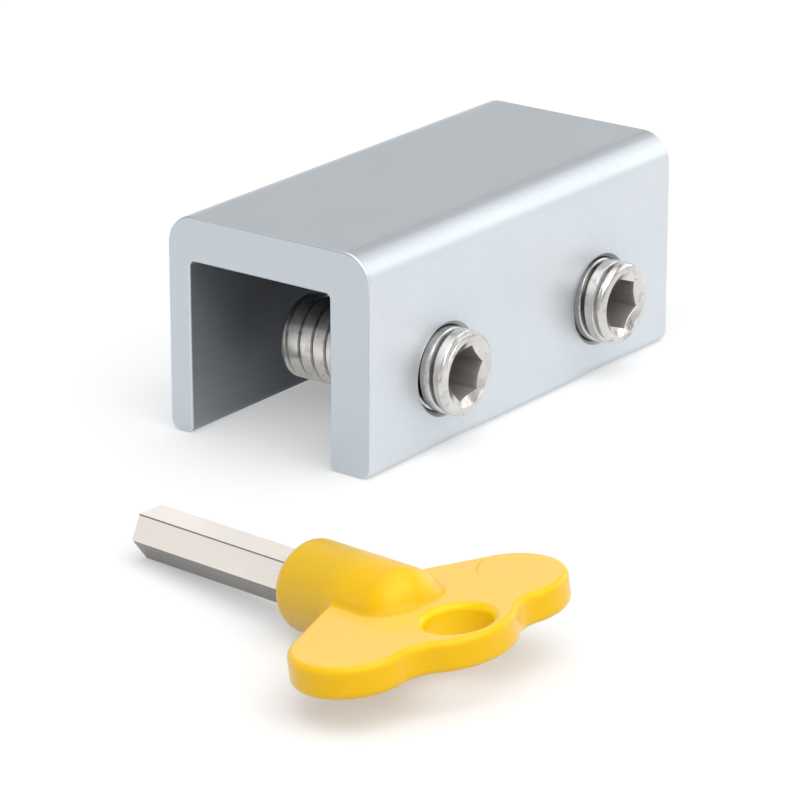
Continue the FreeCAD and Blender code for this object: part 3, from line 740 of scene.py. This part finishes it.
bow_low, bow_high, bow_cell = (-4.48, -13.76, -4.48), (19.2, 13.76, 4.48), 0.16
bow_points, bow_faces = skin_of(bow_distance, bow_low, bow_high, bow_cell)
mesh = bpy.data.meshes.new("key_bow_moulded")
mesh.from_pydata((laid_down(bow_points) * MM).tolist(), [], bow_faces.tolist())
shell = bmesh.new()
shell.from_mesh(mesh)
bmesh.ops.recalc_face_normals(shell, faces=shell.faces)
shell.to_mesh(mesh)
shell.free()
mesh.shade_smooth()
mesh.set_sharp_from_angle(angle=np.radians(50.0))
tilt = slope_of(bow_distance, bow_points)
tilt = tilt / np.linalg.norm(tilt, axis=1)[:, None]
mesh.normals_split_custom_set_from_vertices((tilt @ key_turn.T).tolist())
# The plate's flat faces are marked for a painted sheen in the colour and a glossier finish.
plate_skin, facing_from, facing_over = plate_half + 0.03, 0.94, 0.05
on_plate = np.abs(bow_points[:, 2]) < plate_skin
facing_up = np.clip((np.abs(tilt[:, 2]) - facing_from) / facing_over, 0.0, 1.0)
off_both = np.maximum(*plate_and_collar(*bow_points.T))
# Painted shade: the hollow where the plate meets the collar is marked here for a darker tone.
hollow_shade_amount = np.clip((blend_round - off_both) / (0.5 * blend_round), 0.0, 1.0)
mesh.attributes.new("flat_sheen_and_polish", "FLOAT", "POINT").data.foreach_set("value", facing_up * on_plate)
mesh.attributes.new("painted_hollow_shade", "FLOAT", "POINT").data.foreach_set("value", hollow_shade_amount)
bow = bpy.data.objects.new("key_bow_moulded", mesh)
bpy.context.scene.collection.objects.link(bow)


def own_attribute(tree, name):
    """Give the socket of a value that the mesh holds at its points."""
    node = tree.nodes.new("ShaderNodeAttribute")
    node.attribute_name = name
    return node.outputs["Fac"]


rim_bright, rim_deep, barrel_shade_tone = (0.885, 0.520, 0.004), (0.865, 0.505, 0.003), (0.765, 0.475, 0.018)
hole_light_tone, hollow_shade_tone = (1.0, 0.650, 0.004), (0.750, 0.425, 0.003)
flat_sheen_tone, reflection_arc_tone = (0.955, 0.580, 0.095), (0.690, 0.390, 0.020)
hollow_shade_share, barrel_shade_from, barrel_shade_to = 0.8, 10.0, 13.0
hole_light_from, hole_light_to = ring_hole_radius + 0.1, ring_hole_radius + 0.5
reflection_arc_along, reflection_arc_across, reflection_arc_radius, reflection_arc_share = 3.3, -10.85, 4.36, 0.65
reflection_arc_core, reflection_arc_edge = 0.03, 0.16
skin_least, skin_most, flat_polish = 0.29, 0.34, 0.18
moulded, tree, shader = new_finish("glossy_yellow_plastic")
place = key_place(tree)
axes = split_axes(tree, place)
flat = own_attribute(tree, "flat_sheen_and_polish")
# Painted shade in the hollow between plate and collar.
hollow_shade = worked(tree, "MULTIPLY", own_attribute(tree, "painted_hollow_shade"), hollow_shade_share)
cloud = add_fleck(tree, place, 160.0)
skin = add_fleck(tree, place, 900.0)
# Painted shade: the collar's barrel behind the nose takes a darker tone.
barrel_shade = ranged(tree, axes["X"], 0.0, 1.0, barrel_shade_from * MM, barrel_shade_to * MM)
# Painted light: the ring hole's wall takes a brighter tone, against the shade inside the hole.
from_hole = spread_from(tree, axes["X"], 0.0, axes["Y"], 0.0)
hole_light = ranged(tree, from_hole, 1.0, 0.0, hole_light_from * MM, hole_light_to * MM)
# Painted reflection: a darker arc on one wing's flat, for the collar's end mirrored in the glossy plate.
from_spot = spread_from(tree, axes["X"], reflection_arc_along, axes["Y"], reflection_arc_across)
from_line = worked(tree, "ABSOLUTE", worked(tree, "SUBTRACT", from_spot, reflection_arc_radius * MM))
painted_reflection_arc = ranged(tree, from_line, reflection_arc_share, 0.0, reflection_arc_core * MM, reflection_arc_edge * MM)
for way, faded, full in (("X", 4.0, 6.5), ("Y", -9.6, -9.0)):
    run_out = ranged(tree, axes[way], 0.0, 1.0, faded * MM, full * MM)
    painted_reflection_arc = worked(tree, "MULTIPLY", painted_reflection_arc, run_out)
polished = between(tree, barrel_shade, between(tree, cloud, rim_bright, rim_deep), barrel_shade_tone)
polished = between(tree, hole_light, polished, hole_light_tone)
# Painted sheen: the plate's flat faces take a paler tone.
skin_colour = between(tree, flat, polished, between(tree, painted_reflection_arc, flat_sheen_tone, reflection_arc_tone))
tree.links.new(between(tree, hollow_shade, skin_colour, hollow_shade_tone), shader.inputs["Base Color"])
smooth = ranged(tree, skin, skin_least, skin_most)
polish = worked(tree, "MULTIPLY", flat, flat_polish)
tree.links.new(worked(tree, "SUBTRACT", smooth, polish), shader.inputs["Roughness"])
shader.inputs["Specular Tint"].default_value = (1.0, 0.72, 0.15, 1.0)
shader.inputs["Coat Weight"].default_value = 0.3
shader.inputs["Coat Roughness"].default_value = 0.25
shader.inputs["Subsurface Weight"].default_value = 0.2
shader.inputs["Subsurface Radius"].default_value = (1.0, 0.55, 0.05)
shader.inputs["Subsurface Scale"].default_value = 0.0012
bow.data.materials.append(moulded)
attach(bow, "lock")
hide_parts("key_bow")

# Table: a plain white sheet under the lock and its key, wide enough to fill the view behind them.
# It is lit as they are, so that their soft shadows stay on it.
table_half, table_level, table_glow = 1600.0, -0.02, 0.36
paper_dull, paper_bright = (0.555, 0.555, 0.555), (0.570, 0.570, 0.570)
table_side = np.linspace(-table_half, table_half, 3)
table_along, table_across = np.meshgrid(table_side, table_side, indexing="ij")
table_sheet = np.stack([table_along, table_across, np.full((3, 3), table_level)], axis=-1)
table = joined_sheets("table", [table_sheet])
paper, tree, shader = new_finish("white_table_paper")
cloud = add_fleck(tree, object_place(tree), 30.0)
tree.links.new(between(tree, cloud, paper_dull, paper_bright), shader.inputs["Base Color"])
seen = tree.nodes.new("ShaderNodeLightPath")
glow = worked(tree, "MAXIMUM", seen.outputs["Is Camera Ray"], seen.outputs["Is Glossy Ray"])
shader.inputs["Emission Color"].default_value = (1.0, 1.0, 1.0, 1.0)
tree.links.new(worked(tree, "MULTIPLY", glow, table_glow), shader.inputs["Emission Strength"])
shader.inputs["Roughness"].default_value = 0.9
shader.inputs["Specular IOR Level"].default_value = 0.1
table.data.materials.append(paper)

# Studio light: a soft box to the right behind the lock, a broad one above the camera, and a tent that is pale
# round its walls, greyer above them and bright at its ceiling.
tent_levels = ((0.0, 1.0), (0.34, 0.63), (0.55, 0.42), (0.74, 0.42), (0.9, 1.4))
room = bpy.data.worlds.new("studio_room")
bpy.context.scene.world = room
room.use_nodes = True
tree = room.node_tree
away = split_axes(tree, tree.nodes.new("ShaderNodeTexCoord").outputs["Generated"])
tent = tree.nodes.new("ShaderNodeValToRGB")
while len(tent.color_ramp.elements) < len(tent_levels):
    tent.color_ramp.elements.new(1.0)
for band, (height, level) in zip(tent.color_ramp.elements, tent_levels):
    band.position, band.color = height, (level, 1.01 * level, 1.02 * level, 1.0)
tree.links.new(away["Z"], tent.inputs["Fac"])
tree.links.new(tent.outputs["Color"], tree.nodes["Background"].inputs["Color"])
tree.nodes["Background"].inputs["Strength"].default_value = 1.0


def soft_box(name, position, width, height, power, aim=(0.0, 0.0, 10.0)):
    """Hang a rectangular soft box at a position, facing the aim, all in millimetres, with its power in watts."""
    lamp = bpy.data.lights.new(name, "AREA")
    lamp.shape, lamp.size, lamp.size_y, lamp.energy = "RECTANGLE", width * MM, height * MM, power
    box = bpy.data.objects.new(name, lamp)
    back = (np.array(position) - np.array(aim)) / np.linalg.norm(np.array(position) - np.array(aim))
    right = np.cross((0.0, 0.0, 1.0), back)
    right = right / np.linalg.norm(right)
    turn = Matrix(np.stack([right, np.cross(back, right), back], axis=-1).tolist()).to_4x4()
    box.matrix_world = Matrix.Translation((np.array(position) * MM).tolist()) @ turn
    bpy.context.scene.collection.objects.link(box)


soft_box("right_soft_box", (775.0, -313.0, 407.0), 900.0, 500.0, 1.45)
soft_box("front_soft_box", (-250.0, -520.0, 760.0), 1300.0, 900.0, 6.5)

# Camera: where the photograph was taken from, to the left of the lock's end and a little above it.
# Its long lens and level stand were worked out from the channel's straight edges.
lens_place = (-0.300551, -0.222217, 0.133658)
lens_right = np.array([0.598059, -0.801452, -0.000179])
lens_up = np.array([0.273383, 0.203794, 0.940069])
view = bpy.data.cameras.new("camera")
view.lens, view.sensor_width = 187.561, 36.0
camera = bpy.data.objects.new("camera", view)
stand = Matrix(np.stack([lens_right, lens_up, np.cross(lens_right, lens_up)], axis=-1).tolist()).to_4x4()
camera.matrix_world = Matrix.Translation(lens_place) @ stand
bpy.context.scene.collection.objects.link(camera)
bpy.context.scene.camera = camera
bpy.context.scene.view_settings.view_transform = "Standard"
